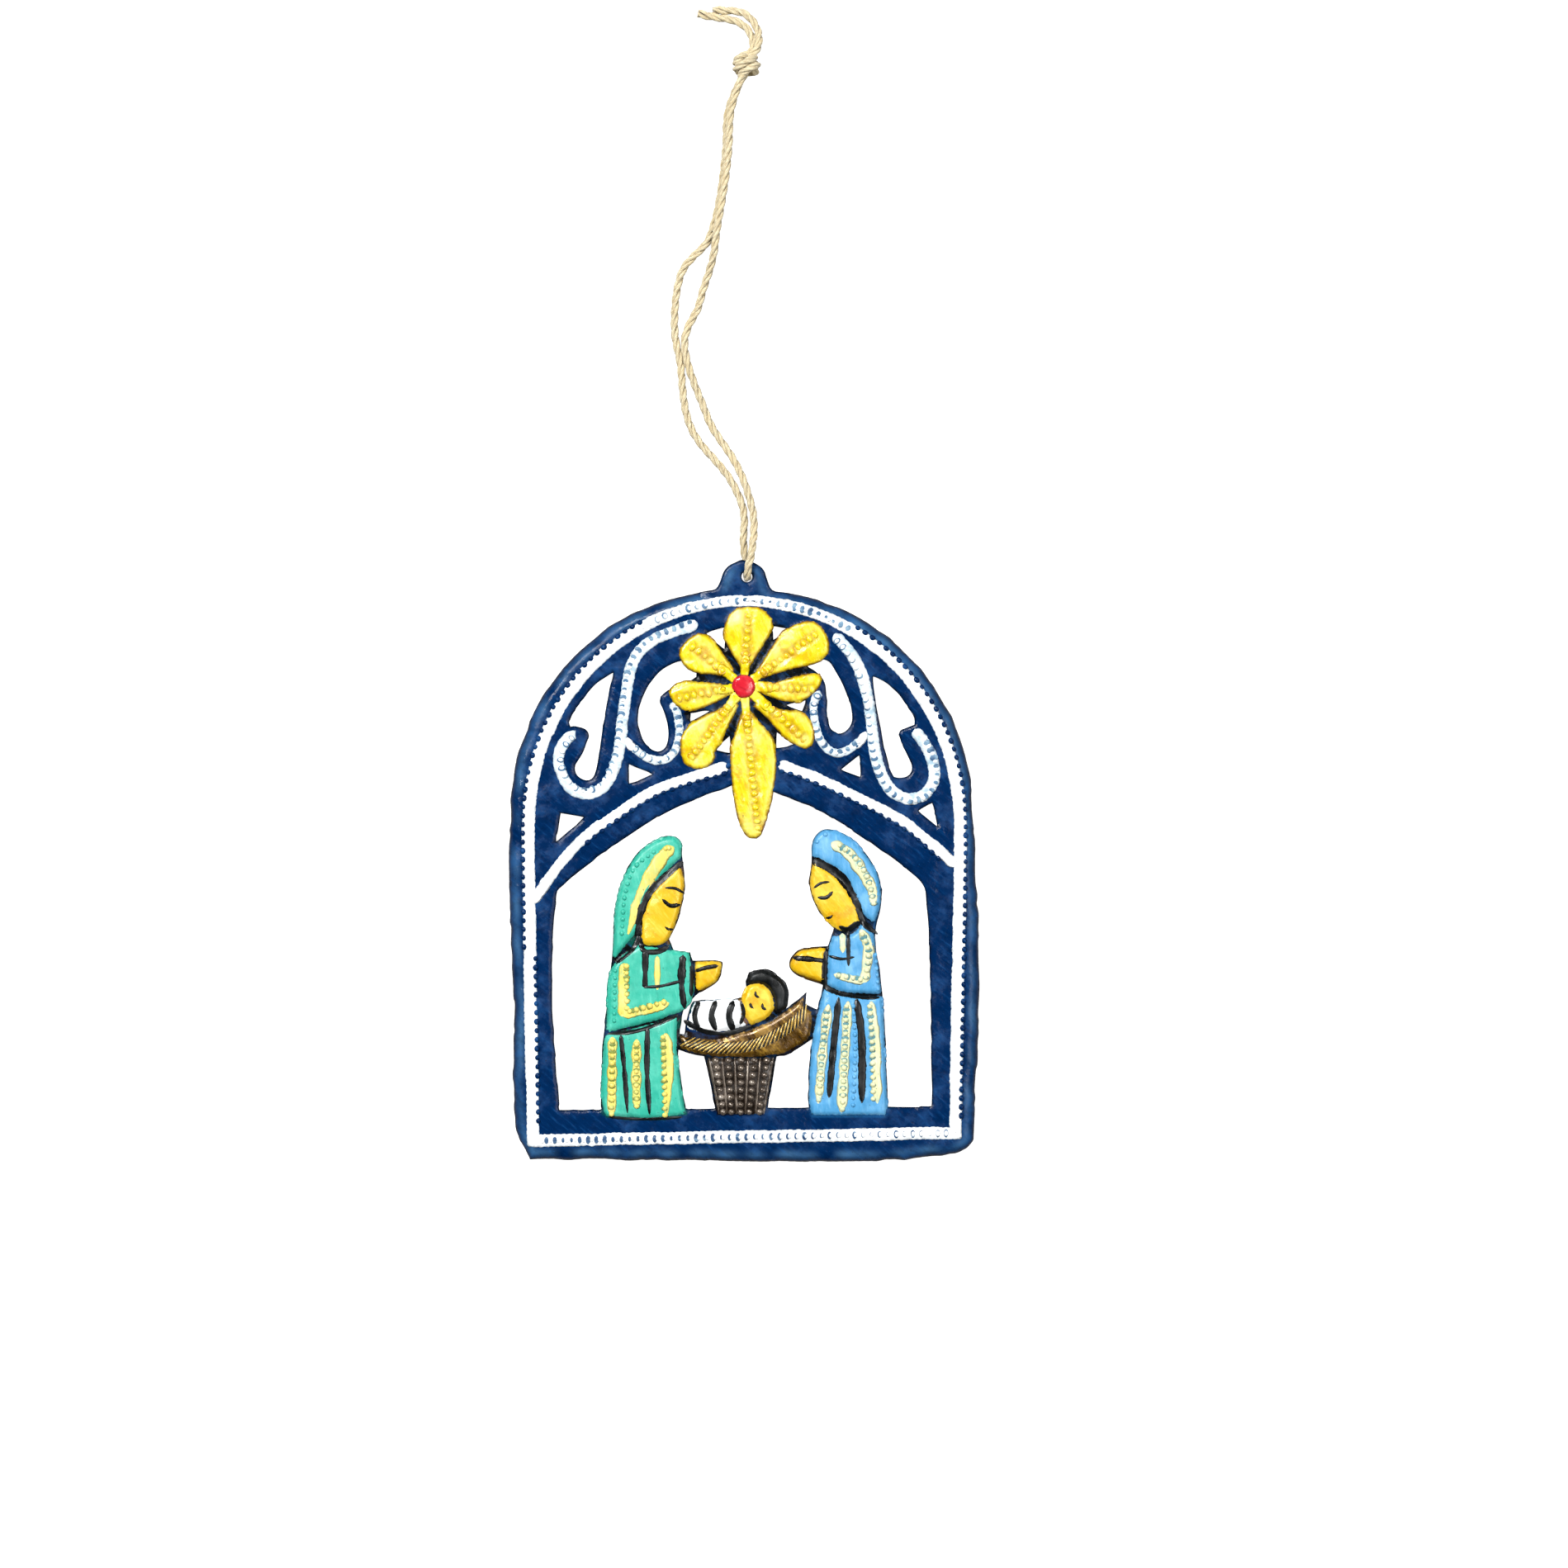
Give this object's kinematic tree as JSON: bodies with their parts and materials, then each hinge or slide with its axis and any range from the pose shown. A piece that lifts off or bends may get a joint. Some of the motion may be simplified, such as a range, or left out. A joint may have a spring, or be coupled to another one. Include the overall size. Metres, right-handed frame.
{
  "type": "hanging wall ornament",
  "caption": "Arched, pierced and embossed sheet-steel ornament with a star, standing figures and a manger, painted by hand, on a knotted twine loop.",
  "frame": {"origin": "Under the middle of the sheet's outline, on the surface that its turned-down rim rests on. The twine is not counted.", "axes": "+X to the right of the painted face, +Y from the foot rail towards the hanging tab, +Z out of the painted face."},
  "size_m": [0.0928, 0.2258, 0.0056],
  "materials": {
    "enamel_blue": "glossy deep blue enamel over chased steel",
    "line_white": "brushed white paint",
    "gold_paint": "bright gold paint, darker in the hollows",
    "red_paint": "glossy red paint",
    "teal_paint": "satin teal paint",
    "sky_paint": "satin sky blue paint",
    "brown_paint": "dark brown metallic paint",
    "straw_paint": "straw gold paint over brown",
    "black_paint": "glossy black paint",
    "jute": "natural jute twine"
  },
  "bodies": {
    "plate": {"steel_sheet": "enamel_blue", "border_line": "line_white", "arch_line_left": "line_white", "arch_line_right": "line_white", "scroll_line_left": "line_white", "scroll_line_right": "line_white", "hook_line_left": "line_white", "hook_line_right": "line_white", "infant_wrap": "line_white", "petal_top": "gold_paint", "petal_top_right": "gold_paint", "petal_right": "gold_paint", "petal_bottom_right": "gold_paint", "petal_bottom": "gold_paint", "petal_bottom_left": "gold_paint", "petal_left": "gold_paint", "petal_top_left": "gold_paint", "left_face": "gold_paint", "left_hands": "gold_paint", "right_face": "gold_paint", "right_hands": "gold_paint", "infant_face": "gold_paint", "star_centre": "red_paint", "left_veil": "teal_paint", "left_sleeve": "teal_paint", "left_skirt": "teal_paint", "right_veil": "sky_paint", "right_sleeve": "sky_paint", "right_skirt": "sky_paint", "manger_basket": "brown_paint", "manger_straw": "straw_paint", "infant_hair": "black_paint"},
    "eye": {"twine_eye": "jute"},
    "loop": {"twine_left_leg": "jute", "twine_right_leg": "jute", "twine_knot": "jute", "twine_left_tail": "jute", "twine_right_tail": "jute"}
  },
  "joints": [
    {"name": "loop_swing", "type": "hinge", "parent": "plate", "child": "eye", "pos_m": [0.0005, 0.0552, 0.0027], "axis": [0, 0, 1], "range_deg": [-75, 75]},
    {"name": "loop_fold", "type": "hinge", "parent": "eye", "child": "loop", "pos_m": [0.0005, 0.06285, 0.00193], "axis": [1, 0, 0], "range_deg": [-120, 120], "deforming": ["twine_eye"]}
  ]
}
